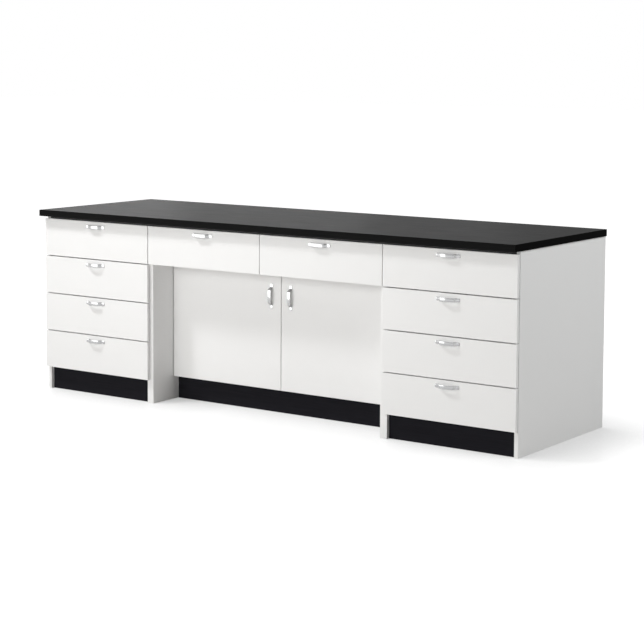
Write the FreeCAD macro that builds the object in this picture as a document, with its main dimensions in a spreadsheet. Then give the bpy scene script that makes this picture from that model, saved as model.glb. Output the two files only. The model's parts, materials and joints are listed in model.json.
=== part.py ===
import FreeCAD, Part

import math
import os

import Sketcher
from FreeCAD import Placement, Rotation, Vector

# Laboratory bench: two drawer pedestals and a recessed two-door cupboard under one worktop.
# Millimetres. X runs along the bench, Y from its front to its back, Z up from the floor.
# The origin is on the floor, below the centre of the worktop.

DIMENSIONS = {
    # overall
    "module_width": 600,
    "bench_height": 810,
    "board_thick": 16,
    "fronts_base": 100,
    "front_pitch": 168,
    # worktop
    "top_thick": 28,
    "top_depth": 760,
    "top_end_overhang": 5,
    "top_front_overhang": 32,
    "top_edge_round": 2,
    # carcasses
    "plinth_height": 98,
    "plinth_setback": 16,
    "back_thick": 8,
    "back_inset": 8,
    "groove_depth": 6,
    "rail_width": 90,
    "recess_depth": 152,
    "floor_setback": 14,
    "centre_plinth_setback": 36,
    "cupboard_top_lift": 2,
    # drawer fronts and doors
    "front_thick": 16,
    "front_gap": 2,
    "seam_width": 3,
    "front_edge_round": 1,
    "door_top_gap": 4,
    # drawer boxes
    "box_length": 600,
    "box_height": 120,
    "box_lift": 24,
    "box_board": 12,
    "box_bottom_thick": 6,
    "box_bottom_lift": 8,
    "box_groove_depth": 5,
    # drawer runners
    "runner_space": 12.5,
    "runner_sheet": 1.2,
    "runner_height": 28,
    "runner_lip": 5,
    "runner_flange": 9,
    "track_height": 24.2,
    "track_reach": 9.5,
    "roller_radius": 10,
    "roller_width": 5,
    "roller_gap": 0.3,
    "roller_axle_radius": 2.5,
    "roller_from_end": 15,
    # handles
    "handle_hole_pitch": 96,
    "handle_foot": 10,
    "handle_rise": 16.5,
    "handle_strap": 2.5,
    "handle_blend": 14,
    "handle_width": 15,
    "handle_corner": 3,
    "handle_drop": 25,
    "door_handle_inset": 50,
    "door_handle_height": 497,
    # shelf
    "shelf_height": 350,
    "shelf_end_gap": 2,
    "shelf_front_inset": 16,
    "shelf_back_gap": 24,
    "shelf_pin_radius": 3,
    "shelf_pin_shank": 2.5,
    "shelf_pin_depth": 9,
    "shelf_pin_reach": 12,
    "shelf_pin_inset": 60,
    "shelf_hole_pitch": 32,
    # door hinges
    "hinge_from_end": 90,
    "hinge_cup_radius": 17.5,
    "hinge_cup_depth": 12,
    "hinge_cup_wall": 1,
    "hinge_cup_inset": 22.5,
    "hinge_pin_inset": 20,
    "hinge_pin_setback": 8,
    "hinge_pin_radius": 1.5,
    "hinge_pin_length": 34,
    "hinge_fit": 0.05,
    "hinge_knuckle": 2.8,
    "hinge_strip": 2,
    "hinge_strip_width": 12,
    "hinge_crank": 12.5,
    "hinge_reach": 25,
    "hinge_flange_length": 54,
    "hinge_flange_width": 16,
    "hinge_flange_thick": 1.5,
    "hinge_plate_length": 44,
    "hinge_plate_height": 36,
    # bolts that hold the three units side by side
    "unit_bolt_radius": 4,
    "unit_bolt_clear": 0.1,
    "unit_bolt_head": 7.5,
    "unit_bolt_head_thick": 2,
    "unit_bolt_front": 30,
    "unit_bolt_behind_door": 86,
    "unit_bolt_rear": 40,
    "unit_bolt_low": 86,
    "unit_bolt_high": 82,
}

DRAWER_ROWS = 4
SHELF_HOLE_ROWS = 7
LEFT, RIGHT = -1, 1
SIDE_NAMES = {LEFT: "left", RIGHT: "right"}

doc = FreeCAD.newDocument("laboratory_bench")
sheet = doc.addObject("Spreadsheet::Sheet", "dims")
for row, (alias, number) in enumerate(DIMENSIONS.items(), start=1):
    sheet.set(f"A{row}", alias)
    sheet.set(f"B{row}", str(number))
    sheet.setAlias(f"B{row}", alias)
doc.recompute()

# Planes and levels that several pieces share, as expressions on the sheet
RUN_END = "(2 * dims.module_width)"
FRONT_FACE = "(dims.top_front_overhang - dims.top_depth / 2)"
FRONT_BACK = f"({FRONT_FACE} + dims.front_thick)"
CARCASS_FRONT = f"({FRONT_BACK} + dims.front_gap)"
REAR = "(dims.top_depth / 2)"
PANEL_DEPTH = f"({REAR} - {CARCASS_FRONT})"
BACK_REAR = f"({REAR} - dims.back_inset)"
BACK_FRONT = f"({BACK_REAR} - dims.back_thick)"
INSIDE_DEPTH = f"({BACK_FRONT} - {CARCASS_FRONT})"
PANEL_TOP = "(dims.bench_height - dims.top_thick)"
RAIL_LEVEL = f"({PANEL_TOP} - dims.board_thick)"
FLOOR_TOP = "(dims.plinth_height + dims.board_thick)"
TOP_ROW_BASE = f"(dims.fronts_base + {DRAWER_ROWS - 1} * dims.front_pitch)"
CUPBOARD_LID = f"({TOP_ROW_BASE} + dims.cupboard_top_lift)"
DOOR_FACE = f"({FRONT_FACE} + dims.recess_depth)"
DOOR_BACK = f"({DOOR_FACE} + dims.front_thick)"
CUPBOARD_FRONT = f"({DOOR_BACK} + dims.floor_setback)"
CUPBOARD_DEPTH = f"({BACK_FRONT} - {CUPBOARD_FRONT})"
CENTRE_INSIDE = "(dims.module_width - dims.board_thick)"
PEDESTAL_INSIDE = "(dims.module_width + dims.board_thick)"
END_INSIDE = f"({RUN_END} - dims.board_thick)"

subparts = {}


def value(expression):
    """The number that an expression on the sheet gives."""
    number = sheet.evalExpression(str(expression))
    return float(getattr(number, "Value", number))


def place(item, x, y, z, rotation=None):
    """Gives an object its place, with each coordinate bound to the sheet."""
    item.Placement = Placement(Vector(value(x), value(y), value(z)), rotation or Rotation())
    for axis, expression in zip("xyz", (x, y, z)):
        item.setExpression(f"Placement.Base.{axis}", str(expression))


def keep(label, item):
    """Names an object as a sub-part of its own."""
    item.Label = label
    subparts[label] = item
    return item


def box(name, low, size):
    """A board or block from its lowest corner."""
    item = doc.addObject("Part::Box", name)
    for prop, expression in zip(("Length", "Width", "Height"), size):
        item.setExpression(prop, str(expression))
    place(item, *low)
    return item


def rod(name, base, radius, length, axis):
    """A round bar from the centre of its first end, along X, Y or Z."""
    turns = {
        "X": Rotation(Vector(0, 1, 0), 90),
        "Y": Rotation(Vector(1, 0, 0), -90),
        "Z": Rotation(),
    }
    item = doc.addObject("Part::Cylinder", name)
    item.setExpression("Radius", str(radius))
    item.setExpression("Height", str(length))
    place(item, *base, rotation=turns[axis])
    return item


def fuse(name, items):
    """Several solids joined into one."""
    item = doc.addObject("Part::MultiFuse", name)
    item.Shapes = items
    item.Refine = True
    return item


def cut(name, base, tool):
    """One solid less another."""
    item = doc.addObject("Part::Cut", name)
    item.Base = base
    item.Tool = tool
    return item


def group(label, items):
    """Separate solids kept together as one sub-part."""
    item = doc.addObject("Part::Compound", label)
    item.Links = items
    return keep(label, item)


def mirrored(side, near, size):
    """The lowest X of a piece that starts `near` from the centre and is `size` long."""
    return near if side == RIGHT else f"(-({near}) - ({size}))"


def new_sketch(body, name, role):
    """An empty sketch on one of the body's own origin planes."""
    sketch = body.newObject("Sketcher::SketchObject", name)
    plane = next(f for f in body.Origin.OriginFeatures if f.Role == role)
    sketch.AttachmentSupport = [(plane, "")]
    sketch.MapMode = "FlatFace"
    return sketch


def bind(sketch, kind, expression, *where):
    """Adds a dimension to a sketch and binds it to the sheet."""
    index = sketch.addConstraint(Sketcher.Constraint(kind, *where, value(expression)))
    name = f"size_{index}"
    sketch.renameConstraint(index, name)
    sketch.setExpression(f".Constraints.{name}", str(expression))


def draw_polygon(sketch, points):
    """A closed outline whose corners are dimensioned from the sketch's origin."""
    corners = [Vector(value(x), value(y), 0) for x, y in points]
    count = len(corners)
    lines = [Part.LineSegment(corners[k], corners[(k + 1) % count]) for k in range(count)]
    sketch.addGeometry(lines, False)
    for k, (x, y) in enumerate(points):
        sketch.addConstraint(Sketcher.Constraint("Coincident", k, 2, (k + 1) % count, 1))
        bind(sketch, "DistanceX", x, -1, 1, k, 1)
        bind(sketch, "DistanceY", y, -1, 1, k, 1)


def draw_circle(sketch, x, y, radius):
    """A circle dimensioned from the sketch's origin."""
    circle = Part.Circle(Vector(value(x), value(y), 0), Vector(0, 0, 1), value(radius))
    index = sketch.addGeometry(circle, False)
    bind(sketch, "DistanceX", x, -1, 1, index, 3)
    bind(sketch, "DistanceY", y, -1, 1, index, 3)
    bind(sketch, "Radius", radius, index)


def pad(body, sketch, length, reverse=False):
    """Pads a sketch by a length from the sheet."""
    feature = body.newObject("PartDesign::Pad", f"{body.Name}_pad")
    feature.Profile = sketch
    feature.Reversed = reverse
    feature.setExpression("Length", str(length))
    return feature


def pocket(body, sketch, length, reverse=False):
    """Pockets a sketch by a length from the sheet, and checks that it has cut something."""
    before = body.Shape.Volume
    feature = body.newObject("PartDesign::Pocket", f"{body.Name}_pocket")
    feature.Profile = sketch
    feature.Reversed = reverse
    feature.setExpression("Length", str(length))
    doc.recompute()
    if not body.Shape.Volume < before:
        raise ValueError(f"the pocket in {body.Name} cuts nothing")
    return feature


def round_edges(body, feature, radius, chosen):
    """Rounds the edges of a feature for which chosen(edge) is true."""
    doc.recompute()
    names = [f"Edge{k}" for k, edge in enumerate(feature.Shape.Edges, start=1) if chosen(edge)]
    rounding = body.newObject("PartDesign::Fillet", f"{body.Name}_round")
    rounding.Base = (feature, names)
    rounding.setExpression("Radius", str(radius))
    return rounding


def extrusion(name, role, points, length, base):
    """A straight profile: drawn on XY and rising along Z, or drawn on XZ and running along Y."""
    body = doc.addObject("PartDesign::Body", name)
    sketch = new_sketch(body, f"{name}_profile", role)
    draw_polygon(sketch, points)
    pad(body, sketch, length, reverse=role == "XZ_Plane")
    place(body, *base)
    return body


def rectangle(width, height, low_x="0", low_y="0"):
    """The four corners of an upright rectangle."""
    right = f"({low_x} + {width})"
    top = f"({low_y} + {height})"
    return [(low_x, low_y), (right, low_y), (right, top), (low_x, top)]


# Worktop, one black slab with its upper edges eased


def make_worktop():
    length = f"({RUN_END} + dims.top_end_overhang)"
    body = doc.addObject("PartDesign::Body", "worktop")
    sketch = new_sketch(body, "worktop_outline", "XY_Plane")
    outline = rectangle(f"(2 * {length})", "dims.top_depth", f"(-{length})", "(-dims.top_depth / 2)")
    draw_polygon(sketch, outline)
    slab = pad(body, sketch, "dims.top_thick")
    top = value("dims.top_thick")
    round_edges(body, slab, "dims.top_edge_round",
                lambda edge: all(abs(v.Z - top) < 0.01 for v in edge.Vertexes))
    place(body, "0", "0", PANEL_TOP)
    keep("worktop", body)


# Upright side panels, grooved near their rear edge for the back panel


def upright_outline(groove_side):
    """The plan of a side panel, its groove facing +X or -X."""
    thick = "dims.board_thick"
    groove_front = f"({PANEL_DEPTH} - dims.back_inset - dims.back_thick)"
    groove_rear = f"({PANEL_DEPTH} - dims.back_inset)"
    if groove_side == RIGHT:
        plain, grooved, bottom = "0", thick, f"({thick} - dims.groove_depth)"
    else:
        plain, grooved, bottom = thick, "0", "dims.groove_depth"
    return [
        (plain, "0"), (grooved, "0"),
        (grooved, groove_front), (bottom, groove_front),
        (bottom, groove_rear), (grooved, groove_rear),
        (grooved, PANEL_DEPTH), (plain, PANEL_DEPTH),
    ]


def bolt_places():
    """Where the bolts between two units go, as distances behind the panel front and heights."""
    near = f"({CUPBOARD_FRONT} - {CARCASS_FRONT} + dims.unit_bolt_behind_door)"
    far = f"({PANEL_DEPTH} - dims.unit_bolt_rear)"
    low = f"({FLOOR_TOP} + dims.unit_bolt_low)"
    high = f"({PANEL_TOP} - dims.unit_bolt_high)"
    return [(near, low), (far, low), ("dims.unit_bolt_front", high), (far, high)]


def drill_bolt_holes(body):
    """The through holes for the bolts between two units."""
    sketch = new_sketch(body, f"{body.Name}_bolt_holes", "YZ_Plane")
    for y, z in bolt_places():
        draw_circle(sketch, y, z, "(dims.unit_bolt_radius + dims.unit_bolt_clear)")
    pocket(body, sketch, "dims.board_thick", reverse=True)


def drill_shelf_holes(body, side):
    """Two columns of blind holes for the shelf pins, on the cupboard side of a centre panel."""
    sketch = new_sketch(body, f"{body.Name}_shelf_holes", "YZ_Plane")
    lowest = f"({SHELF_PIN_LEVEL} - {SHELF_HOLE_ROWS // 2} * dims.shelf_hole_pitch)"
    for y in shelf_pin_places():
        draw_circle(sketch, f"({y} - {CARCASS_FRONT})", lowest, "dims.shelf_pin_shank")
    if side == LEFT:
        # the blind holes open on the panel's far face, so the sketch is lifted to their bottoms
        sketch.setExpression("AttachmentOffset.Base.z", "dims.board_thick - dims.shelf_pin_depth")
    hole = pocket(body, sketch, "dims.shelf_pin_depth", reverse=True)
    column = body.newObject("PartDesign::LinearPattern", f"{body.Name}_shelf_columns")
    column.Originals = [hole]
    column.Direction = (next(f for f in body.Origin.OriginFeatures if f.Role == "Z_Axis"), [""])
    column.setExpression("Length", f"{SHELF_HOLE_ROWS - 1} * dims.shelf_hole_pitch")
    column.Occurrences = SHELF_HOLE_ROWS
    body.Tip = column


SHELF_PIN_LEVEL = "(dims.shelf_height - dims.shelf_pin_radius)"


def shelf_pin_places():
    """The Y of the front and rear shelf pins."""
    front = f"({CUPBOARD_FRONT} + dims.shelf_front_inset + dims.shelf_pin_inset)"
    rear = f"({BACK_FRONT} - dims.shelf_back_gap - dims.shelf_pin_inset)"
    return [front, rear]


def make_uprights(side):
    """The end panel, the pedestal's inner panel and the centre unit's panel of one side."""
    thick = "dims.board_thick"
    panels = {
        "end_panel": (END_INSIDE, -side),
        "inner_panel": ("dims.module_width", side),
        "centre_panel": (CENTRE_INSIDE, -side),
    }
    for kind, (near, groove_side) in panels.items():
        name = f"{kind}_{SIDE_NAMES[side]}"
        low = (mirrored(side, near, thick), CARCASS_FRONT, "0")
        body = extrusion(name, "XY_Plane", upright_outline(groove_side), PANEL_TOP, low)
        doc.recompute()
        if kind != "end_panel":
            drill_bolt_holes(body)
        if kind == "centre_panel":
            drill_shelf_holes(body, side)
        keep(name, body)


# Floors, plinths, backs and rails of the three units


def make_pedestal(side):
    """The boards between the two uprights of one pedestal."""
    name = SIDE_NAMES[side]
    width = f"({END_INSIDE} - {PEDESTAL_INSIDE})"
    low_x = mirrored(side, PEDESTAL_INSIDE, width)
    keep(f"pedestal_floor_{name}", box(
        f"pedestal_floor_{name}", (low_x, CARCASS_FRONT, "dims.plinth_height"),
        (width, INSIDE_DEPTH, "dims.board_thick")))
    keep(f"plinth_{name}", box(
        f"plinth_{name}", (low_x, f"({CARCASS_FRONT} + dims.plinth_setback)", "0"),
        (width, "dims.board_thick", "dims.plinth_height")))
    keep(f"back_panel_{name}", box(
        f"back_panel_{name}", (f"({low_x} - dims.groove_depth)", BACK_FRONT, "dims.plinth_height"),
        (f"({width} + 2 * dims.groove_depth)", "dims.back_thick", f"({PANEL_TOP} - dims.plinth_height)")))
    return rails(name, low_x, width)


def make_centre_unit():
    """The boards of the unit between the pedestals: two drawer cells over the cupboard."""
    width = f"(2 * {CENTRE_INSIDE})"
    low_x = f"(-{CENTRE_INSIDE})"
    thick = "dims.board_thick"
    keep("cupboard_floor", box(
        "cupboard_floor", (low_x, CUPBOARD_FRONT, "dims.plinth_height"), (width, CUPBOARD_DEPTH, thick)))
    keep("cupboard_top", box(
        "cupboard_top", (low_x, CARCASS_FRONT, CUPBOARD_LID), (width, INSIDE_DEPTH, thick)))
    divider_foot = f"({CUPBOARD_LID} + {thick})"
    keep("drawer_divider", box(
        "drawer_divider", (f"(-{thick} / 2)", CARCASS_FRONT, divider_foot),
        (thick, INSIDE_DEPTH, f"({RAIL_LEVEL} - {divider_foot})")))
    keep("plinth_centre", box(
        "plinth_centre", (low_x, f"({DOOR_FACE} + dims.centre_plinth_setback)", "0"), (width, thick, "dims.plinth_height")))
    keep("back_panel_centre", box(
        "back_panel_centre", (f"({low_x} - dims.groove_depth)", BACK_FRONT, "dims.plinth_height"),
        (f"({width} + 2 * dims.groove_depth)", "dims.back_thick", f"({PANEL_TOP} - dims.plinth_height)")))
    keep("cupboard_shelf", box(
        "cupboard_shelf",
        (f"({low_x} + dims.shelf_end_gap)", f"({CUPBOARD_FRONT} + dims.shelf_front_inset)", "dims.shelf_height"),
        (f"({width} - 2 * dims.shelf_end_gap)",
         f"({CUPBOARD_DEPTH} - dims.shelf_front_inset - dims.shelf_back_gap)", thick)))
    return rails("centre", low_x, width)


def rails(name, low_x, width):
    """The front and the rear rail that tie two uprights together under the worktop."""
    size = (width, "dims.rail_width", "dims.board_thick")
    front = box(f"front_rail_{name}", (low_x, CARCASS_FRONT, RAIL_LEVEL), size)
    rear = box(f"rear_rail_{name}", (low_x, f"({BACK_FRONT} - dims.rail_width)", RAIL_LEVEL), size)
    return [front, rear]


def make_shelf_pins():
    """Four round pins, each with its shank in a centre panel and its head under the shelf."""
    pins = []
    for side in (LEFT, RIGHT):
        for k, y in enumerate(shelf_pin_places()):
            name = f"shelf_pin_{SIDE_NAMES[side]}_{k}"
            shank_x = mirrored(side, CENTRE_INSIDE, "dims.shelf_pin_depth")
            head_x = mirrored(side, f"({CENTRE_INSIDE} - dims.shelf_pin_reach)", "dims.shelf_pin_reach")
            shank = rod(f"{name}_shank", (shank_x, y, SHELF_PIN_LEVEL),
                        "dims.shelf_pin_shank", "dims.shelf_pin_depth", "X")
            head = rod(f"{name}_head", (head_x, y, SHELF_PIN_LEVEL),
                       "dims.shelf_pin_radius", "dims.shelf_pin_reach", "X")
            pins.append(fuse(name, [shank, head]))
    group("shelf_pins", pins)


def make_unit_bolts():
    """Connecting bolts through each pair of uprights, with a flat head on both sides."""
    bolts = []
    grip = "(2 * dims.board_thick)"
    head = "dims.unit_bolt_head_thick"
    for side in (LEFT, RIGHT):
        for k, (y, z) in enumerate(bolt_places()):
            name = f"unit_bolt_{SIDE_NAMES[side]}_{k}"
            base = (mirrored(side, CENTRE_INSIDE, grip), f"({CARCASS_FRONT} + {y})", z)
            shank = rod(f"{name}_shank", base, "dims.unit_bolt_radius", grip, "X")
            heads = []
            for end, shift in (("low", f"(-{head})"), ("high", grip)):
                spot = (f"({base[0]} + {shift})", base[1], base[2])
                heads.append(rod(f"{name}_head_{end}", spot, "dims.unit_bolt_head", head, "X"))
            bolts.append(fuse(name, [shank] + heads))
    group("unit_bolts", bolts)


# Bow handle: two flat feet and a strap that rises between them in tangent arcs

HANDLE_BEND = "(dims.handle_hole_pitch / 2 - dims.handle_foot / 2)"
HANDLE_END = "(dims.handle_hole_pitch / 2 + dims.handle_foot / 2)"
ARC_CENTRES_APART = f"(({HANDLE_BEND}^2 + dims.handle_rise^2) / (2 * dims.handle_rise))"
CROWN_RADIUS = f"({ARC_CENTRES_APART} - dims.handle_blend)"


def arc_between(centre, radius, start, end):
    """The arc that runs anticlockwise from start to end."""
    first = math.atan2(start.y - centre.y, start.x - centre.x)
    last = math.atan2(end.y - centre.y, end.x - centre.x)
    if last < first:
        last += 2 * math.pi
    return Part.ArcOfCircle(Part.Circle(centre, Vector(0, 0, 1), radius), first, last)


def draw_bow(sketch):
    """The strap's side view: X along the handle, Y away from the front."""
    bend = value(HANDLE_BEND)
    end = value(HANDLE_END)
    strap = value("dims.handle_strap")
    blend = value("dims.handle_blend")
    crown = value(CROWN_RADIUS)
    apart = value(ARC_CENTRES_APART)
    crown_centre = Vector(0, value("dims.handle_rise") - crown, 0)
    right_centre = Vector(bend, blend, 0)
    left_centre = Vector(-bend, blend, 0)
    towards = (crown_centre - right_centre) / apart
    inner = right_centre + towards * blend
    outer = right_centre + towards * (blend - strap)
    inner_left = Vector(-inner.x, inner.y, 0)
    outer_left = Vector(-outer.x, outer.y, 0)
    sketch.addGeometry([
        Part.LineSegment(Vector(end, 0, 0), Vector(bend, 0, 0)),
        arc_between(right_centre, blend, inner, Vector(bend, 0, 0)),
        arc_between(crown_centre, crown, inner, inner_left),
        arc_between(left_centre, blend, Vector(-bend, 0, 0), inner_left),
        Part.LineSegment(Vector(-bend, 0, 0), Vector(-end, 0, 0)),
        Part.LineSegment(Vector(-end, 0, 0), Vector(-end, strap, 0)),
        Part.LineSegment(Vector(-end, strap, 0), Vector(-bend, strap, 0)),
        arc_between(left_centre, blend - strap, Vector(-bend, strap, 0), outer_left),
        arc_between(crown_centre, crown + strap, outer, outer_left),
        arc_between(right_centre, blend - strap, outer, Vector(bend, strap, 0)),
        Part.LineSegment(Vector(bend, strap, 0), Vector(end, strap, 0)),
        Part.LineSegment(Vector(end, strap, 0), Vector(end, 0, 0)),
    ], False)
    rule = Sketcher.Constraint
    sketch.addConstraint([
        rule("Horizontal", 0), rule("Horizontal", 4), rule("Horizontal", 6), rule("Horizontal", 10),
        rule("Vertical", 5), rule("Vertical", 11),
        rule("Tangent", 0, 2, 1, 2), rule("Tangent", 1, 1, 2, 1),
        rule("Tangent", 2, 2, 3, 2), rule("Tangent", 3, 1, 4, 1),
        rule("Coincident", 4, 2, 5, 1), rule("Coincident", 5, 2, 6, 1),
        rule("Tangent", 6, 2, 7, 1), rule("Tangent", 7, 2, 8, 2),
        rule("Tangent", 8, 1, 9, 1), rule("Tangent", 9, 2, 10, 1),
        rule("Coincident", 10, 2, 11, 1), rule("Coincident", 11, 2, 0, 1),
        rule("Coincident", 1, 3, 9, 3), rule("Coincident", 3, 3, 7, 3), rule("Coincident", 2, 3, 8, 3),
        rule("PointOnObject", 0, 1, -1), rule("PointOnObject", 4, 2, -1), rule("PointOnObject", 2, 3, -2),
    ])
    bind(sketch, "DistanceX", HANDLE_END, -1, 1, 0, 1)
    bind(sketch, "DistanceX", HANDLE_END, 4, 2, -1, 1)
    bind(sketch, "DistanceX", HANDLE_BEND, -1, 1, 1, 3)
    bind(sketch, "DistanceX", HANDLE_BEND, 3, 3, -1, 1)
    bind(sketch, "Radius", "dims.handle_blend", 1)
    bind(sketch, "DistanceY", "dims.handle_strap", 5, 1, 5, 2)
    bind(sketch, "Radius", CROWN_RADIUS, 2)


ACROSS = Rotation(Vector(0, 0, 1), 180)
UPRIGHT = Rotation(Vector(0, 0, 1), Vector(0, -1, 0), Vector(1, 0, 0), "XYZ")


def make_handle(name, x, y, z, rotation):
    """One handle, with the corners of its feet rounded."""
    body = doc.addObject("PartDesign::Body", name)
    sketch = new_sketch(body, f"{name}_bow", "XY_Plane")
    draw_bow(sketch)
    strap = pad(body, sketch, "dims.handle_width")
    strap.Midplane = True
    end = value(HANDLE_END)
    round_edges(body, strap, "dims.handle_corner",
                lambda edge: all(abs(abs(v.X) - end) < 0.01 for v in edge.Vertexes)
                and abs(edge.Vertexes[0].Z - edge.Vertexes[-1].Z) < 0.01)
    place(body, x, y, z, rotation=rotation)
    keep(name, body)


# Drawer: front, grooved box with its runner members, and handle


def make_front(name, centre_x, base_z):
    """A drawer front, with the edges of its face eased."""
    width = "(dims.module_width - dims.seam_width)"
    height = "(dims.front_pitch - dims.seam_width)"
    body = doc.addObject("PartDesign::Body", name)
    sketch = new_sketch(body, f"{name}_outline", "XZ_Plane")
    draw_polygon(sketch, rectangle(width, height, f"(-{width} / 2)", "(dims.seam_width / 2)"))
    slab = pad(body, sketch, "dims.front_thick")
    face = -value("dims.front_thick")
    round_edges(body, slab, "dims.front_edge_round",
                lambda edge: all(abs(v.Y - face) < 0.01 for v in edge.Vertexes))
    place(body, centre_x, FRONT_BACK, base_z)
    keep(name, body)


def signed(side, length):
    """A length measured along +X or -X."""
    return f"({length})" if side == RIGHT else f"(-({length}))"


def box_side_outline(inward):
    """The end view of a box side, grooved on the face that points inwards for the bottom."""
    groove_top = "(dims.box_bottom_lift + dims.box_bottom_thick)"
    face = signed(inward, "dims.box_board")
    groove = signed(inward, "dims.box_board - dims.box_groove_depth")
    return [
        ("0", "0"), (face, "0"), (face, "dims.box_bottom_lift"), (groove, "dims.box_bottom_lift"),
        (groove, groove_top), (face, groove_top), (face, "dims.box_height"), ("0", "dims.box_height"),
    ]


def drawer_track_outline(inward):
    """The end view of the runner member on the drawer: a leg under the box side, a web and a track."""
    sheet_thick = "dims.runner_sheet"
    web = signed(-inward, sheet_thick)
    reach = signed(-inward, "dims.track_reach")
    leg = signed(inward, "dims.box_board")
    return [
        (leg, f"(-{sheet_thick})"), (web, f"(-{sheet_thick})"),
        (web, "dims.track_height"), (reach, "dims.track_height"),
        (reach, f"(dims.track_height + {sheet_thick})"), ("0", f"(dims.track_height + {sheet_thick})"),
        ("0", "0"), (leg, "0"),
    ]


def cabinet_track_outline(inward):
    """The end view of the runner member on the carcass: a web with a floor and a lip."""
    sheet_thick = "dims.runner_sheet"
    web = signed(inward, sheet_thick)
    floor = signed(inward, f"{sheet_thick} + dims.runner_flange")
    lip = signed(inward, f"{sheet_thick} + dims.runner_lip")
    return [
        ("0", "0"), (floor, "0"), (floor, sheet_thick), (web, sheet_thick),
        (web, f"(dims.runner_height - {sheet_thick})"), (lip, f"(dims.runner_height - {sheet_thick})"),
        (lip, "dims.runner_height"), ("0", "dims.runner_height"),
    ]


def roller(name, web_x, toward, y, z):
    """A roller on its axle, standing out from a runner's web towards +X or -X."""
    gap = "dims.roller_gap"
    axle_length = f"({gap} + dims.roller_width)"
    axle_x = web_x if toward == RIGHT else f"({web_x} - {axle_length})"
    wheel_x = f"({web_x} + {gap})" if toward == RIGHT else f"({web_x} - {axle_length})"
    axle = rod(f"{name}_axle", (axle_x, y, z), "dims.roller_axle_radius", axle_length, "X")
    wheel = rod(f"{name}_wheel", (wheel_x, y, z), "dims.roller_radius", "dims.roller_width", "X")
    return fuse(name, [axle, wheel])


def make_box(drawer, cell_low, cell_high, base_z):
    """The box of one drawer with its two runner members, which make one sub-part."""
    low = f"({cell_low} + dims.runner_space)"
    high = f"({cell_high} - dims.runner_space)"
    foot = f"({base_z} + dims.box_lift)"
    inner_low = f"({low} + dims.box_board)"
    inner_width = f"({high} - {low} - 2 * dims.box_board)"
    bottom_z = f"({foot} + dims.box_bottom_lift)"
    upper_z = f"({bottom_z} + dims.box_bottom_thick)"
    upper_height = "(dims.box_height - dims.box_bottom_lift - dims.box_bottom_thick)"
    rear_y = f"({FRONT_BACK} + dims.box_length)"
    pieces = [
        box(f"{drawer}_bottom", (f"({inner_low} - dims.box_groove_depth)", FRONT_BACK, bottom_z),
            (f"({inner_width} + 2 * dims.box_groove_depth)", "dims.box_length", "dims.box_bottom_thick")),
        box(f"{drawer}_inner_front", (inner_low, FRONT_BACK, upper_z),
            (inner_width, "dims.box_board", upper_height)),
        box(f"{drawer}_inner_back", (inner_low, f"({rear_y} - dims.box_board)", upper_z),
            (inner_width, "dims.box_board", upper_height)),
    ]
    for inward, outer_x in ((RIGHT, low), (LEFT, high)):
        tag = f"{drawer}_{SIDE_NAMES[-inward]}"
        base = (outer_x, FRONT_BACK, foot)
        pieces.append(extrusion(f"{tag}_side", "XZ_Plane", box_side_outline(inward), "dims.box_length", base))
        pieces.append(extrusion(f"{tag}_track", "XZ_Plane", drawer_track_outline(inward),
                                "dims.box_length", base))
        web_x = f"({outer_x} - {signed(inward, 'dims.runner_sheet')})"
        wheel_z = f"({foot} + dims.runner_sheet + dims.roller_gap + dims.roller_radius)"
        pieces.append(roller(f"{tag}_roller", web_x, -inward, f"({rear_y} - dims.roller_from_end)", wheel_z))
    group(f"{drawer}_box", pieces)


def cabinet_runners(drawer, cell_low, cell_high, base_z):
    """The two runner members on the carcass for one drawer, each with its front roller."""
    pieces = []
    foot = f"({base_z} + dims.box_lift)"
    wheel_z = f"({foot} + dims.track_height - dims.roller_gap - dims.roller_radius)"
    for inward, wall_x in ((RIGHT, cell_low), (LEFT, cell_high)):
        tag = f"{drawer}_{SIDE_NAMES[-inward]}_carcass"
        base = (wall_x, CARCASS_FRONT, foot)
        track = extrusion(f"{tag}_track", "XZ_Plane", cabinet_track_outline(inward), "dims.box_length", base)
        web_x = f"({wall_x} + {signed(inward, 'dims.runner_sheet')})"
        wheel_y = f"({CARCASS_FRONT} + dims.roller_from_end)"
        pieces += [track, roller(f"{tag}_roller", web_x, inward, wheel_y, wheel_z)]
    return pieces


def drawer_list():
    """Each drawer's name, module centre, cell walls and row base."""
    drawers = []
    for side in (LEFT, RIGHT):
        for row in range(DRAWER_ROWS):
            base_z = f"(dims.fronts_base + {row} * dims.front_pitch)"
            walls = [signed(side, PEDESTAL_INSIDE), signed(side, END_INSIDE)]
            centre = signed(side, "1.5 * dims.module_width")
            drawers.append((f"drawer_{SIDE_NAMES[side]}_{DRAWER_ROWS - row}", centre, walls[::side], base_z))
    for side in (LEFT, RIGHT):
        walls = [signed(side, "dims.board_thick / 2"), signed(side, CENTRE_INSIDE)]
        centre = signed(side, "dims.module_width / 2")
        drawers.append((f"drawer_centre_{SIDE_NAMES[side]}", centre, walls[::side], TOP_ROW_BASE))
    return drawers


def make_drawers():
    """All ten drawers and the runner members that carry them."""
    runners = []
    for drawer, centre, (cell_low, cell_high), base_z in drawer_list():
        make_front(f"{drawer}_front", centre, base_z)
        make_box(drawer, cell_low, cell_high, base_z)
        runners += cabinet_runners(drawer, cell_low, cell_high, base_z)
        handle_z = f"({base_z} + dims.front_pitch - dims.handle_drop)"
        make_handle(f"{drawer}_handle", centre, FRONT_FACE, handle_z, ACROSS)
    group("cabinet_runners", runners)


# Doors with cup hinges: the cup and its pin turn with the door, and a cranked arm holds the pin

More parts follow.
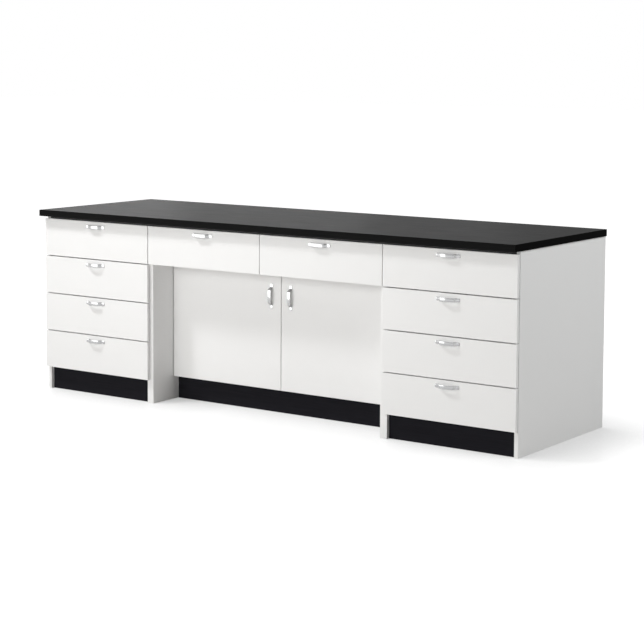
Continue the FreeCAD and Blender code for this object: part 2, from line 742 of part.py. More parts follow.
DOOR_EDGE = f"({CENTRE_INSIDE} - dims.seam_width)"
DOOR_FOOT = "(dims.fronts_base + dims.seam_width / 2)"
DOOR_HEIGHT = f"({CUPBOARD_LID} - dims.door_top_gap - {DOOR_FOOT})"
HINGE_PIN = f"({DOOR_EDGE} - dims.hinge_pin_inset)"
HINGE_PIN_Y = f"({DOOR_FACE} + dims.hinge_pin_setback)"
HINGE_CUP = f"({DOOR_EDGE} - dims.hinge_cup_inset)"


def hinge_heights():
    """The height of the lower and the upper hinge's centre."""
    return [f"({DOOR_FOOT} + dims.hinge_from_end)", f"({DOOR_FOOT} + {DOOR_HEIGHT} - dims.hinge_from_end)"]


def make_door(side):
    """One door, bored from behind for its two hinge cups."""
    name = f"door_{SIDE_NAMES[side]}"
    width = f"({DOOR_EDGE} - dims.seam_width / 2)"
    body = doc.addObject("PartDesign::Body", f"{name}_panel")
    sketch = new_sketch(body, f"{name}_outline", "XZ_Plane")
    low_x = mirrored(side, "dims.seam_width / 2", width)
    draw_polygon(sketch, rectangle(width, DOOR_HEIGHT, low_x, DOOR_FOOT))
    slab = pad(body, sketch, "dims.front_thick")
    doc.recompute()
    bores = new_sketch(body, f"{name}_cup_bores", "XZ_Plane")
    for z in hinge_heights():
        draw_circle(bores, signed(side, HINGE_CUP), z, "dims.hinge_cup_radius")
    drilled = pocket(body, bores, "dims.hinge_cup_depth", reverse=True)
    face = -value("dims.front_thick")
    round_edges(body, drilled, "dims.front_edge_round",
                lambda edge: all(abs(v.Y - face) < 0.01 for v in edge.Vertexes))
    place(body, "0", DOOR_BACK, "0")
    keep(f"{name}_panel", body)
    handle_x = signed(side, "dims.door_handle_inset")
    make_handle(f"{name}_handle", handle_x, DOOR_FACE, "dims.door_handle_height", UPRIGHT)


def make_door_hinges(side):
    """The two cups of a door, each with its flange on the door's back and its pin across it."""
    name = f"door_{SIDE_NAMES[side]}_hinges"
    cups = []
    cup_x = signed(side, HINGE_CUP)
    pin_x = signed(side, HINGE_PIN)
    cup_bottom = f"({DOOR_BACK} - dims.hinge_cup_depth)"
    full_depth = "(dims.hinge_cup_depth + dims.hinge_flange_thick)"
    for k, z in enumerate(hinge_heights()):
        tag = f"{name}_{k}"
        shell = rod(f"{tag}_shell", (cup_x, cup_bottom, z), "dims.hinge_cup_radius", full_depth, "Y")
        flange = box(f"{tag}_flange",
                     (f"({cup_x} - dims.hinge_flange_width / 2)", DOOR_BACK,
                      f"({z} - dims.hinge_flange_length / 2)"),
                     ("dims.hinge_flange_width", "dims.hinge_flange_thick", "dims.hinge_flange_length"))
        hollow = rod(f"{tag}_hollow", (cup_x, f"({cup_bottom} + dims.hinge_cup_wall / 2)", z),
                     "(dims.hinge_cup_radius - dims.hinge_cup_wall)", full_depth, "Y")
        pin = rod(f"{tag}_pin", (pin_x, HINGE_PIN_Y, f"({z} - dims.hinge_pin_length / 2)"),
                  "dims.hinge_pin_radius", "dims.hinge_pin_length", "Z")
        dish = cut(f"{tag}_dish", fuse(f"{tag}_body", [shell, flange]), hollow)
        cups.append(fuse(tag, [dish, pin]))
    group(name, cups)


def make_hinge_arms():
    """The cranked arms on the centre panels: out of the cup, back past the door's edge, to a plate."""
    arms = []
    strip = "dims.hinge_strip"
    half_width = "(dims.hinge_strip_width / 2)"
    for side in (LEFT, RIGHT):
        # the crank points away from the door's edge, towards the middle of the bench
        inward = -side
        pin_x = signed(side, HINGE_PIN)
        wall = f"({CENTRE_INSIDE} - {HINGE_PIN})"
        outline = [
            ("0", f"(-{strip} / 2)"),
            (signed(inward, "dims.hinge_crank"), f"(-{strip} / 2)"),
            (signed(inward, "dims.hinge_crank"), "dims.hinge_reach"),
            (signed(side, wall), "dims.hinge_reach"),
            (signed(side, wall), f"(dims.hinge_reach - {strip})"),
            (signed(inward, f"dims.hinge_crank - {strip}"), f"(dims.hinge_reach - {strip})"),
            (signed(inward, f"dims.hinge_crank - {strip}"), f"({strip} / 2)"),
            ("0", f"({strip} / 2)"),
        ]
        for k, z in enumerate(hinge_heights()):
            tag = f"hinge_arm_{SIDE_NAMES[side]}_{k}"
            foot_z = f"({z} - {half_width})"
            crank = extrusion(f"{tag}_crank", "XY_Plane", outline, "dims.hinge_strip_width",
                              (pin_x, HINGE_PIN_Y, foot_z))
            knuckle = rod(f"{tag}_knuckle", (pin_x, HINGE_PIN_Y, foot_z),
                          "dims.hinge_knuckle", "dims.hinge_strip_width", "Z")
            plate_x = mirrored(side, f"({CENTRE_INSIDE} - {strip})", strip)
            plate = box(f"{tag}_plate",
                        (plate_x, f"({HINGE_PIN_Y} + dims.hinge_reach - {strip})",
                         f"({z} - dims.hinge_plate_height / 2)"),
                        (strip, "dims.hinge_plate_length", "dims.hinge_plate_height"))
            bore = rod(f"{tag}_bore", (pin_x, HINGE_PIN_Y, foot_z),
                       "(dims.hinge_pin_radius + dims.hinge_fit)", "dims.hinge_strip_width", "Z")
            arms.append(cut(tag, fuse(f"{tag}_body", [crank, knuckle, plate]), bore))
    group("hinge_arms", arms)


make_worktop()
all_rails = []
for bench_side in (LEFT, RIGHT):
    make_uprights(bench_side)
    all_rails += make_pedestal(bench_side)
all_rails += make_centre_unit()
group("top_rails", all_rails)
make_shelf_pins()
make_unit_bolts()
make_drawers()
for bench_side in (LEFT, RIGHT):
    make_door(bench_side)
    make_door_hinges(bench_side)
make_hinge_arms()

doc.recompute()
failed = [item.Name for item in doc.Objects if "Invalid" in item.State or "Error" in item.State]
if failed:
    raise RuntimeError(f"these objects failed: {failed}")
for label, item in subparts.items():
    if item.Shape.isNull() or not item.Shape.isValid():
        raise RuntimeError(f"the shape of {label} is not valid")

os.makedirs("parts", exist_ok=True)
for label, item in subparts.items():
    item.Shape.exportStep(f"parts/{label}.step")
print(len(subparts), "sub-parts written")
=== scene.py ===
import itertools
import json
import math
from functools import partial

import bmesh
import bpy
from mathutils import Matrix, Vector


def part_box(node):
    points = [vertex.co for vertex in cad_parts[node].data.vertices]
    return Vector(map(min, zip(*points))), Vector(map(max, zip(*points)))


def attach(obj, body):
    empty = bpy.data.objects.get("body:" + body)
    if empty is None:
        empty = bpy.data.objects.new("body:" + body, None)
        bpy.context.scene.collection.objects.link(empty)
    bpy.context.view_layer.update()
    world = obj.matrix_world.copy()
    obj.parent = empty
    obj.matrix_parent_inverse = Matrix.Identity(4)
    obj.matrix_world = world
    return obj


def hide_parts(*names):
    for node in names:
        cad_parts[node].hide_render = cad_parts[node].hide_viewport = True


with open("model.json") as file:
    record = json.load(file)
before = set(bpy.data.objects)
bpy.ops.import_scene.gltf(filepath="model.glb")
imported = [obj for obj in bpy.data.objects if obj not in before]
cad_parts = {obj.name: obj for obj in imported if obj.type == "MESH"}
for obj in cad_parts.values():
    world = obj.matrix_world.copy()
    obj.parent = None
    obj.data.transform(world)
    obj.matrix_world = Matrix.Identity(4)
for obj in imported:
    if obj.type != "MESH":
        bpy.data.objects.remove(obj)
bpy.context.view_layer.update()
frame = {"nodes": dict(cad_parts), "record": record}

# Laboratory bench: white melamine units under one black worktop, with satin chrome bow handles.
# Metres. X runs along the bench, Y from its front to its back, Z up from the floor.

SIDES = ("left", "right")
DRAWERS = [f"drawer_{side}_{row}" for side in SIDES for row in (1, 2, 3, 4)]
DRAWERS += ["drawer_centre_left", "drawer_centre_right"]
DOORS = ["door_left", "door_right"]

# Photograph's frame and the camera that took it
PHOTO_SIDE = 644
OPTICAL_CENTRE_ROW = 200
CAMERA_PLACE = (4.3522, -6.1116, 1.4993)
CAMERA_YAW = -35.0326
CAMERA_PITCH = -4.6376
CAMERA_ROLL = 0.3123
CAMERA_SIGHT = 200
SENSOR = 36.0
LENS = 99.209


# Node helpers


def add_node(tree, kind, inputs=None, **settings):
    """A node with its settings, and its inputs set or linked by name or place."""
    node = tree.nodes.new(kind)
    for name, setting in settings.items():
        setattr(node, name, setting)
    for name, given in (inputs or {}).items():
        if isinstance(given, bpy.types.NodeSocket):
            tree.links.new(given, node.inputs[name])
        else:
            node.inputs[name].default_value = given
    return node


def maths(tree, operation, *values):
    """The result of one Math node on numbers or sockets."""
    kind = "ShaderNodeMath"
    node = add_node(tree, kind, dict(enumerate(values)), operation=operation)
    return node.outputs[0]


# Finishes


def new_finish(name):
    """An empty material, its tree and its shader, with the object's own coordinates."""
    finish = bpy.data.materials.new(name)
    finish.use_nodes = True
    tree = finish.node_tree
    tree.nodes.clear()
    output = add_node(tree, "ShaderNodeOutputMaterial")
    shader = add_node(tree, "ShaderNodeBsdfPrincipled")
    tree.links.new(shader.outputs[0], output.inputs[0])
    place = add_node(tree, "ShaderNodeTexCoord").outputs["Object"]
    return finish, tree, shader, place


def stretched(tree, place, scale):
    """Object coordinates scaled along each axis."""
    mapping = add_node(tree, "ShaderNodeMapping", {"Vector": place, "Scale": scale})
    return mapping.outputs[0]


def noise(tree, place, scale, detail=2.0, roughness=0.5):
    """The value of a noise texture."""
    inputs = {"Vector": place, "Scale": scale, "Detail": detail, "Roughness": roughness}
    return add_node(tree, "ShaderNodeTexNoise", inputs).outputs[0]


def between(tree, factor, low, high, start=0.3, end=0.7):
    """A number that runs from low to high as the factor runs from start to end."""
    inputs = {"Value": factor, "From Min": start, "From Max": end, "To Min": low, "To Max": high}
    return add_node(tree, "ShaderNodeMapRange", inputs).outputs[0]


def blend_colours(tree, factor, first, second):
    """A colour between two colours or sockets."""
    # a colour mix takes its factor at place 0 and its colours at 6 and 7, and gives the mix at place 2
    node = add_node(tree, "ShaderNodeMix", {0: factor, 6: first, 7: second}, data_type="RGBA")
    return node.outputs[2]


def grey(level, warmth=0.0):
    """A near-neutral colour."""
    return (level * (1 + warmth), level, level * (1 - warmth), 1)


def tinted(level, tint):
    """A colour of a level, with its own share of red, green and blue."""
    return (level * tint[0], level * tint[1], level * tint[2], 1)


def raise_surface(tree, shader, height, distance, strength):
    """Bump from a height."""
    inputs = {"Height": height, "Distance": distance, "Strength": strength}
    bump = add_node(tree, "ShaderNodeBump", inputs)
    tree.links.new(bump.outputs[0], shader.inputs["Normal"])


BOARD_WARMTH = 0.002
# near-black of the painted shade on the front edges in the gap under the worktop
GAP_SHADE_BLACK = 0.012


def melamine(name, level):
    """White melamine board: satin, with the fine pearl texture of its press plate."""
    finish, tree, shader, place = new_finish(name)
    cloud = noise(tree, place, scale=3.0)
    speck = noise(tree, place, scale=900.0, detail=1.0)
    darker, lighter = grey(level * 0.985, BOARD_WARMTH), grey(level * 1.01, BOARD_WARMTH)
    shade = blend_colours(tree, cloud, darker, lighter)
    dust = between(tree, speck, low=0.0, high=1.0)
    dusted = blend_colours(tree, dust, grey(level * 0.975, BOARD_WARMTH), shade)
    tree.links.new(dusted, shader.inputs["Base Color"])
    tree.links.new(between(tree, speck, low=0.40, high=0.50), shader.inputs["Roughness"])
    shader.inputs["Specular IOR Level"].default_value = 0.4
    pearl = noise(tree, place, scale=1400.0)
    raise_surface(tree, shader, pearl, distance=0.00004, strength=0.25)
    return finish


def melamine_with_gap_shade(name, level, edge_y, edge_z):
    """White melamine board with painted shade on its front edge from a height upwards: near-black where
    the gap under the worktop is in shadow.
    """
    finish = melamine(name, level)
    tree = finish.node_tree
    shader = next(node for node in tree.nodes if node.type == "BSDF_PRINCIPLED")
    place = add_node(tree, "ShaderNodeTexCoord").outputs["Object"]
    where = add_node(tree, "ShaderNodeSeparateXYZ", {0: place}).outputs
    board = shader.inputs["Base Color"].links[0].from_socket
    # painted shade: the front edge above the given height is coloured near-black
    in_front = maths(tree, "LESS_THAN", where["Y"], edge_y)
    above = maths(tree, "GREATER_THAN", where["Z"], edge_z)
    painted_gap_shade = maths(tree, "MULTIPLY", in_front, above)
    tree.links.new(blend_colours(tree, painted_gap_shade, board, grey(GAP_SHADE_BLACK)), shader.inputs["Base Color"])
    return finish


def black_laminate(name, level, roughness, specular, tint=(0.99, 1.0, 1.01), painted_shade_end_x=None):
    """Black laminate with a fine grain along the bench, and painted shade on its end faces, which are
    coloured plain near-black.
    """
    finish, tree, shader, place = new_finish(name)
    along = stretched(tree, place, (6.0, 220.0, 220.0))
    grain = noise(tree, along, scale=1.0, detail=5.0, roughness=0.6)
    pores = noise(tree, stretched(tree, place, (60.0, 900.0, 900.0)), scale=1.0)
    streaks = between(tree, grain, low=0.0, high=1.0)
    tone = blend_colours(tree, streaks, tinted(level * 0.88, tint), tinted(level * 1.14, tint))
    # painted shade: past the given distance from the middle, the end faces are coloured near-black
    if painted_shade_end_x:
        from_middle = add_node(tree, "ShaderNodeSeparateXYZ", {0: place}).outputs["X"]
        far = maths(tree, "ABSOLUTE", from_middle)
        end_shade_mask = maths(tree, "GREATER_THAN", far, painted_shade_end_x)
        tone = blend_colours(tree, end_shade_mask, tone, grey(level * 0.08))
    tree.links.new(tone, shader.inputs["Base Color"])
    satin = between(tree, grain, low=roughness + 0.04, high=roughness - 0.04)
    tree.links.new(satin, shader.inputs["Roughness"])
    shader.inputs["Specular IOR Level"].default_value = specular
    raise_surface(tree, shader, pores, distance=0.00006, strength=0.3)
    return finish


def satin_chrome():
    """Satin chrome: bright metal with a fine brushed grain."""
    finish, tree, shader, place = new_finish("satin chrome")
    brushing = noise(tree, place, scale=2600.0, detail=1.0)
    metal = blend_colours(tree, brushing, grey(0.42, -0.006), grey(0.47, -0.006))
    tree.links.new(metal, shader.inputs["Base Color"])
    tree.links.new(between(tree, brushing, low=0.13, high=0.18), shader.inputs["Roughness"])
    shader.inputs["Metallic"].default_value = 1.0
    raise_surface(tree, shader, brushing, distance=0.000004, strength=0.12)
    return finish


def nickel():
    """Nickel plated steel of hinges, pins, bolts and screws."""
    finish, tree, shader, place = new_finish("nickel plated steel")
    smear = noise(tree, place, scale=160.0, detail=4.0)
    metal = blend_colours(tree, smear, grey(0.60, 0.012), grey(0.70, 0.012))
    tree.links.new(metal, shader.inputs["Base Color"])
    tree.links.new(between(tree, smear, low=0.24, high=0.38), shader.inputs["Roughness"])
    shader.inputs["Metallic"].default_value = 1.0
    raise_surface(tree, shader, smear, distance=0.00002, strength=0.2)
    return finish


def coated_steel():
    """White epoxy coat on the runner members, with a slight orange peel."""
    finish, tree, shader, place = new_finish("white coated steel")
    peel = noise(tree, place, scale=420.0, detail=1.0)
    coat = blend_colours(tree, peel, grey(0.80, 0.004), grey(0.84, 0.004))
    tree.links.new(coat, shader.inputs["Base Color"])
    tree.links.new(between(tree, peel, low=0.26, high=0.34), shader.inputs["Roughness"])
    raise_surface(tree, shader, peel, distance=0.00012, strength=0.3)
    return finish


def white_hardboard():
    """White faced back panel, matt, with faint fibres."""
    finish, tree, shader, place = new_finish("white hardboard")
    fibres = noise(tree, stretched(tree, place, (260.0, 260.0, 90.0)), scale=1.0, detail=4.0)
    cloud = noise(tree, place, scale=2.0)
    shade = blend_colours(tree, cloud, grey(0.76, 0.006), grey(0.79, 0.006))
    strands = between(tree, fibres, low=0.0, high=1.0)
    board = blend_colours(tree, strands, grey(0.745, 0.008), shade)
    tree.links.new(board, shader.inputs["Base Color"])
    shader.inputs["Roughness"].default_value = 0.62
    shader.inputs["Specular IOR Level"].default_value = 0.25
    raise_surface(tree, shader, fibres, distance=0.00006, strength=0.3)
    return finish


RAIL_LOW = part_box("top_rails")[0]
WORKTOP_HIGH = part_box("worktop")[1]
WHITE_LEVEL = 0.86
# how far the painted gap shade reaches behind the rails' front and below their underside
GAP_SHADE_DEPTH = 0.001
# how far in from the worktop's ends its painted shade starts
END_SHADE_DEPTH = 0.0005
# the pieces whose front edges carry painted shade in the gap under the worktop
GAP_SHADED_PARTS = (
    "top_rails", "inner_panel_left", "inner_panel_right", "centre_panel_left", "centre_panel_right")

white_melamine = melamine("white melamine", WHITE_LEVEL)
gap_shaded_board = melamine_with_gap_shade(
    "white melamine with painted gap shade", WHITE_LEVEL,
    edge_y=RAIL_LOW.y + GAP_SHADE_DEPTH, edge_z=RAIL_LOW.z - GAP_SHADE_DEPTH)
drawer_melamine = melamine("drawer board", 0.80)
worktop_laminate = black_laminate(
    "black laminate", level=0.009, roughness=0.42, specular=0.005,
    painted_shade_end_x=WORKTOP_HIGH.x - END_SHADE_DEPTH)
plinth_laminate = black_laminate(
    "black plinth board", level=0.0142, roughness=0.5, specular=0.01, tint=(1.0, 0.98, 1.2))
chrome = satin_chrome()
plated = nickel()
runner_coat = coated_steel()
back_face = white_hardboard()

FINISH_OF_SLOT = {
    "black_laminate": worktop_laminate,
    "black_board": plinth_laminate,
    "white_melamine": white_melamine,
    "drawer_board": drawer_melamine,
    "white_hardboard": back_face,
    "white_coated_steel": runner_coat,
    "nickel_plated_steel": plated,
    "satin_chrome": chrome,
}


def finish_cad_nodes():
    """Every carried-over piece takes the finish of its own slot, save the rails and panels with painted
    shade in the gap under the worktop.
    """
    for part in frame["record"]["subparts"]:
        node = frame["nodes"][part["node"]]
        # the rails and panels under the worktop take the board with painted shade in the gap
        takes_gap_shade = part["node"] in GAP_SHADED_PARTS
        finish = gap_shaded_board if takes_gap_shade else FINISH_OF_SLOT[part["material_slot"]]
        for slot in node.material_slots:
            slot.material = finish


# Drawer fronts

# The edge strips' thickness, and how far they stand proud of the board
EDGING = 0.001
EDGING_STEP = 0.00012
# What the seams take from each front above and below, and from one front on its left
SEAM_TRIM = 0.0006
LEFT_TRIM = {"drawer_centre_left": 0.0015}


def rounded_block(shape, low, high, radius):
    """Adds a block with rounded edges to a mesh in the making."""
    corners = [shape.verts.new(corner) for corner in itertools.product(*zip(low, high))]
    sides = ((0, 1, 3, 2), (4, 6, 7, 5), (0, 4, 5, 1), (2, 3, 7, 6), (0, 2, 6, 4), (1, 5, 7, 3))
    faces = [shape.faces.new([corners[k] for k in side]) for side in sides]
    edges = list({edge for face in faces for edge in face.edges})
    bmesh.ops.bevel(shape, geom=edges, offset=radius, segments=3, profile=0.5, affect="EDGES")


def make_fronts():
    """Each drawer front: a board with its edge strips, which stand a hair proud of its faces."""
    for drawer in DRAWERS:
        low, high = (Vector(corner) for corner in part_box(f"{drawer}_front"))
        low += Vector((LEFT_TRIM.get(drawer, 0.0), 0, SEAM_TRIM))
        high -= Vector((0, 0, SEAM_TRIM))
        shape = bmesh.new()
        inner_low = low + Vector((EDGING, EDGING_STEP, EDGING))
        inner_high = high - Vector((EDGING, 0, EDGING))
        rounded_block(shape, inner_low, inner_high, EDGING_STEP)
        strips = (
            (low, (high.x, high.y, low.z + EDGING)),
            ((low.x, low.y, high.z - EDGING), high),
            ((low.x, low.y, low.z + EDGING), (low.x + EDGING, high.y, high.z - EDGING)),
            ((high.x - EDGING, low.y, low.z + EDGING), (high.x, high.y, high.z - EDGING)),
        )
        for strip_low, strip_high in strips:
            rounded_block(shape, strip_low, strip_high, EDGING_STEP * 2)
        mesh = bpy.data.meshes.new(f"{drawer}_board")
        bmesh.ops.recalc_face_normals(shape, faces=shape.faces)
        shape.to_mesh(mesh)
        shape.free()
        mesh.materials.append(white_melamine)
        board = bpy.data.objects.new(f"{drawer}_board", mesh)
        bpy.context.scene.collection.objects.link(board)
        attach(board, drawer)
        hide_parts(f"{drawer}_front")


# Pieces made by geometry trees

CREASE_ANGLE = 40.0

# Handles
HOLE_PITCH = 0.096
HANDLE_ROWS = 121
STRAP_POINTS = 16
HANDLE_SIZES = {
    "Length": 0.106,
    "Foot": 0.015,
    "Rise": 0.0165,
    "Strap": 0.0025,
    "Ramp": 0.012,
    "Bulge": 0.0024,
    "Width": 0.015,
    "Foot Corner": 0.003,
    "Edge Round": 0.0007,
}

# Screw heads; the recess is measured in shares of the head's radius
SCREW_SIZES = {"Head Radius": 0.0038, "Head Height": 0.0016, "Recess Depth": 0.0009}
RECESS_ARM = 0.62
RECESS_HALF_WIDTH = 0.18
SCREW_SEED = 7


def new_shape_tree(name, sizes):
    """A geometry tree with named inputs, and the outputs of its inlet."""
    tree = bpy.data.node_groups.new(name, "GeometryNodeTree")
    tree.interface.new_socket("Geometry", in_out="INPUT", socket_type="NodeSocketGeometry")
    for label, kind in sizes.items():
        tree.interface.new_socket(label, in_out="INPUT", socket_type=f"NodeSocket{kind}")
    tree.interface.new_socket("Geometry", in_out="OUTPUT", socket_type="NodeSocketGeometry")
    return tree, add_node(tree, "NodeGroupInput").outputs


def close_shape_tree(tree, geometry, finish):
    """Ends a tree: its pieces are made real and take their finish."""
    smooth = add_node(tree, "GeometryNodeSetShadeSmooth", {"Geometry": geometry}).outputs[0]
    real = add_node(tree, "GeometryNodeRealizeInstances", {"Geometry": smooth}).outputs[0]
    painted = add_node(tree, "GeometryNodeSetMaterial", {"Geometry": real, "Material": finish})
    add_node(tree, "NodeGroupOutput", {"Geometry": painted.outputs[0]})


def bake(name, tree, sizes, points=None):
    """A tree's result as a plain mesh object at the origin, its inputs set by their identifiers."""
    carrier = bpy.data.objects.new(name, points or bpy.data.meshes.new(f"{name}_start"))
    bpy.context.scene.collection.objects.link(carrier)
    maker = carrier.modifiers.new("maker", "NODES")
    maker.node_group = tree
    for item in tree.interface.items_tree:
        if item.in_out == "INPUT" and item.name in sizes:
            maker[item.identifier] = sizes[item.name]
    depsgraph = bpy.context.evaluated_depsgraph_get()
    mesh = bpy.data.meshes.new_from_object(carrier.evaluated_get(depsgraph))
    carrier.modifiers.remove(maker)
    mesh.name = name
    mesh.set_sharp_from_angle(angle=math.radians(CREASE_ANGLE))
    carrier.data = mesh
    return carrier


def split(tree, vector):
    """The three numbers of a vector."""
    return add_node(tree, "ShaderNodeSeparateXYZ", {0: vector}).outputs


def bow_handle_tree():
    """A strap with flat feet and short ramps, whose crown bulges slightly outwards."""
    sizes = {"Place": "Vector", "Turn": "Vector", **dict.fromkeys(HANDLE_SIZES, "Float")}
    tree, size = new_shape_tree("bow handle", sizes)
    m = partial(maths, tree)

    end = m("MULTIPLY", size["Length"], 0.5)
    bend = m("SUBTRACT", end, size["Foot"])
    half_strap = m("MULTIPLY", size["Strap"], 0.5)
    bulge = size["Bulge"]
    ramp_rise = m("SUBTRACT", size["Rise"], bulge)

    sheet = add_node(tree, "GeometryNodeMeshGrid", {
        "Size X": 1.0, "Size Y": 1.0, "Vertices X": HANDLE_ROWS, "Vertices Y": STRAP_POINTS + 1})
    place = split(tree, add_node(tree, "GeometryNodeInputPosition").outputs[0])

    # the rows run from end to end, and the first and the last one close the strap
    past = m("MULTIPLY", place["X"], 2.0 * (HANDLE_ROWS - 1) / (HANDLE_ROWS - 3))
    within = m("MAXIMUM", m("MINIMUM", past, 1.0), -1.0)
    open_row = m("LESS_THAN", m("ABSOLUTE", past), 1.0 + 1.0 / HANDLE_ROWS)
    along = m("MULTIPLY", within, end)
    reach = m("ABSOLUTE", along)

    def arc_height(radius, offset):
        """How high a round corner stands at an offset from its centre."""
        squares_apart = m("SUBTRACT", m("MULTIPLY", radius, radius), m("MULTIPLY", offset, offset))
        return m("SQRT", m("MAXIMUM", squares_apart, 1e-9))

    # how far up its ramp each row is, from the foot to the crown, as half a turn
    inset = m("MAXIMUM", m("SUBTRACT", bend, reach), 0.0)
    up_ramp = m("MINIMUM", m("DIVIDE", inset, size["Ramp"]), 1.0)
    half_turn = m("MULTIPLY", up_ramp, math.pi)
    on_ramp = m("MULTIPLY", m("SUBTRACT", 1.0, m("COSINE", half_turn)), 0.5)
    share = m("MINIMUM", m("DIVIDE", reach, bend), 1.0)
    flatness = m("SUBTRACT", 1.0, m("MULTIPLY", share, share))
    bowed = m("MULTIPLY", bulge, m("MULTIPLY", flatness, flatness))
    away = m("ADD", m("MULTIPLY_ADD", ramp_rise, on_ramp, half_strap), bowed)
    steepest = m("DIVIDE", ramp_rise, size["Ramp"])
    ramp_slope = m("MULTIPLY", steepest, m("MULTIPLY", m("SINE", half_turn), math.pi / 2))
    bow_turn = m("MULTIPLY", m("MULTIPLY", bulge, 4.0), m("MULTIPLY", share, flatness))
    bow_slope = m("DIVIDE", bow_turn, bend)
    steepness = m("ADD", ramp_slope, bow_slope)
    slope = m("MULTIPLY", m("MULTIPLY", steepness, m("SIGN", along)), -1.0)
    length = m("SQRT", m("MULTIPLY_ADD", slope, slope, 1.0))

    # the strap's section: a thin rectangle with round edges, narrower where the foot's corners are
    section = add_node(tree, "GeometryNodeCurvePrimitiveQuadrilateral", {
        "Width": size["Width"], "Height": size["Strap"]}, mode="RECTANGLE")
    rounded = add_node(tree, "GeometryNodeFilletCurve", {
        "Curve": section.outputs[0], "Count": STRAP_POINTS // 4 - 1,
        "Radius": size["Edge Round"]}, mode="POLY")
    turn_share = m("FLOOR", m("MULTIPLY_ADD", place["Y"], STRAP_POINTS, STRAP_POINTS / 2 + 0.5))
    index = m("ADD", m("FLOORED_MODULO", turn_share, STRAP_POINTS), 0.1)
    spot = add_node(tree, "GeometryNodeSampleIndex", data_type="FLOAT_VECTOR", domain="POINT")
    tree.links.new(rounded.outputs[0], spot.inputs["Geometry"])
    tree.links.new(add_node(tree, "GeometryNodeInputPosition").outputs[0], spot.inputs["Value"])
    tree.links.new(index, spot.inputs["Index"])
    across = split(tree, spot.outputs[0])
    corner = size["Foot Corner"]
    corner_reach = m("MAXIMUM", m("SUBTRACT", reach, m("SUBTRACT", end, corner)), 0.0)
    corner_loss = m("SUBTRACT", corner, arc_height(corner, corner_reach))
    narrowing = m("SUBTRACT", 1.0, m("DIVIDE", corner_loss, m("MULTIPLY", size["Width"], 0.5)))
    wide = m("MULTIPLY", across["X"], narrowing)
    thick = m("MULTIPLY", m("DIVIDE", across["Y"], length), open_row)

    local = add_node(tree, "ShaderNodeCombineXYZ", {
        0: m("SUBTRACT", along, m("MULTIPLY", slope, thick)), 1: m("ADD", away, thick), 2: wide})
    shaped = add_node(tree, "GeometryNodeSetPosition", {
        "Geometry": sheet.outputs[0], "Position": local.outputs[0]})
    closed = add_node(tree, "GeometryNodeMergeByDistance", {
        "Geometry": shaped.outputs[0], "Distance": 1e-6})
    set_up = add_node(tree, "GeometryNodeTransform", {
        "Geometry": closed.outputs[0], "Translation": size["Place"], "Rotation": size["Turn"]})
    close_shape_tree(tree, set_up.outputs[0], chrome)
    return tree


ACROSS_FRONT = (0.0, 0.0, math.pi)
UP_DOOR = tuple(Matrix(((0, 0, 1), (0, -1, 0), (1, 0, 0))).to_euler())


def make_handles():
    """The twelve bow handles, each on its own drawer or door."""
    tree = bow_handle_tree()
    for body in DRAWERS + DOORS:
        low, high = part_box(f"{body}_handle")
        place = ((low.x + high.x) / 2, high.y, (low.z + high.z) / 2)
        turn = ACROSS_FRONT if body in DRAWERS else UP_DOOR
        handle = bake(f"{body}_bow", tree, {**HANDLE_SIZES, "Place": place, "Turn": turn})
        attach(handle, body)
        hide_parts(f"{body}_handle")


